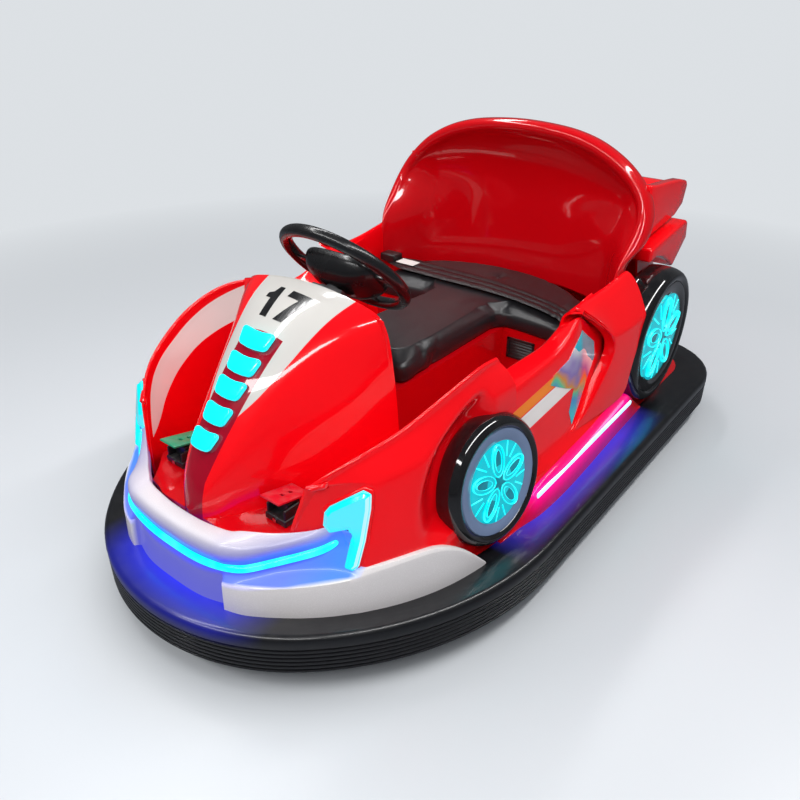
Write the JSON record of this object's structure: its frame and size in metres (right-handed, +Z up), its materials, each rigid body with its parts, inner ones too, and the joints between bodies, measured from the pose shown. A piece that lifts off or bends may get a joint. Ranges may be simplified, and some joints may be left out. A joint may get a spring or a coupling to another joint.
{
  "type": "bumper car",
  "caption": "Battery bumper car with a rubber ring, race-style red shell, bench seat, steering wheel, lit dummy wheels and a steered driven wheel below.",
  "frame": {"origin": "on the floor under the middle of the bumper ring", "axes": "+Z up, the front faces -Y, the driver's left is +X"},
  "size_m": [1.15, 1.9129, 0.916],
  "materials": {
    "ring_rubber": "satin ribbed rubber",
    "frame_steel": "black painted steel",
    "road_tyre": "matt solid rubber",
    "red_shell": "clear-coated glossy red",
    "silver_shell": "silver-white metallic lacquer",
    "pearl_insert": "pearly cyan film",
    "gloss_black": "glossy black lacquer",
    "cyan_lamp": "lit cyan diffuser",
    "violet_lamp": "lit pale violet diffuser",
    "tail_lamp": "red lamp lens",
    "black_vinyl": "grained soft vinyl",
    "soft_black": "moulded black polyurethane",
    "pedal_red": "red painted plate on a black base",
    "pedal_green": "green painted plate on a black base",
    "battery_case": "plain case",
    "belt_webbing": "woven black webbing"
  },
  "bodies": {
    "chassis": {"battery_block": "battery_case", "bumper_ring": "ring_rubber", "chassis_frame": "frame_steel", "column_bracket": "frame_steel", "drive_bridge": "frame_steel", "floor_pan": "red_shell", "front_light_strip": "cyan_lamp", "front_lip": "silver_shell", "front_pod_left": "red_shell", "front_pod_right": "red_shell", "headlight_left": "cyan_lamp", "headlight_right": "cyan_lamp", "lap_belt": "belt_webbing", "nose_hood": "red_shell", "pedal_bases": "soft_black", "pedal_go": "pedal_green", "pedal_stop": "pedal_red", "rear_axle": "frame_steel", "scoop_inserts": "pearl_insert", "seat_back": "red_shell", "seat_base": "red_shell", "seat_cushion": "black_vinyl", "seat_vents": "soft_black", "side_lights": "violet_lamp", "side_wall_left": "red_shell", "side_wall_right": "red_shell", "spine_lights": "cyan_lamp", "tail_body": "red_shell", "tail_lights": "tail_lamp", "tail_wings": "red_shell", "trim_tyre_front_left": "gloss_black", "trim_tyre_front_right": "gloss_black", "trim_tyre_rear_left": "gloss_black", "trim_tyre_rear_right": "gloss_black", "wheel_light_front_left": "cyan_lamp", "wheel_light_front_right": "cyan_lamp", "wheel_light_rear_left": "cyan_lamp", "wheel_light_rear_right": "cyan_lamp"},
    "steering": {"steering_wheel": "soft_black", "steering_column": "frame_steel", "wheel_boss": "soft_black"},
    "drive_fork": {"drive_fork": "frame_steel"},
    "drive_wheel": {"drive_wheel": "road_tyre"},
    "rear_wheel_left": {"rear_wheel_left": "road_tyre"},
    "rear_wheel_right": {"rear_wheel_right": "road_tyre"}
  },
  "joints": [
    {"name": "steering", "type": "hinge", "parent": "chassis", "child": "drive_fork", "pos_m": [0, -0.58, 0.2], "axis": [0, 0, 1], "range_deg": [-180, 180]},
    {"name": "steering_wheel_turn", "type": "hinge", "parent": "chassis", "child": "steering", "pos_m": [0, -0.327, 0.679], "axis": [0, 0.7193, 0.6947], "range_deg": [-180, 180]},
    {"name": "drive_wheel_roll", "type": "hinge", "parent": "drive_fork", "child": "drive_wheel", "pos_m": [0, -0.58, 0.1], "axis": [1, 0, 0], "continuous": true},
    {"name": "rear_left_roll", "type": "hinge", "parent": "chassis", "child": "rear_wheel_left", "pos_m": [0.352, 0.45, 0.07], "axis": [1, 0, 0], "continuous": true},
    {"name": "rear_right_roll", "type": "hinge", "parent": "chassis", "child": "rear_wheel_right", "pos_m": [-0.352, 0.45, 0.07], "axis": [1, 0, 0], "continuous": true}
  ],
  "couplings": [
    {"joint": "steering_wheel_turn", "follows": "steering", "ratio": 1}
  ]
}
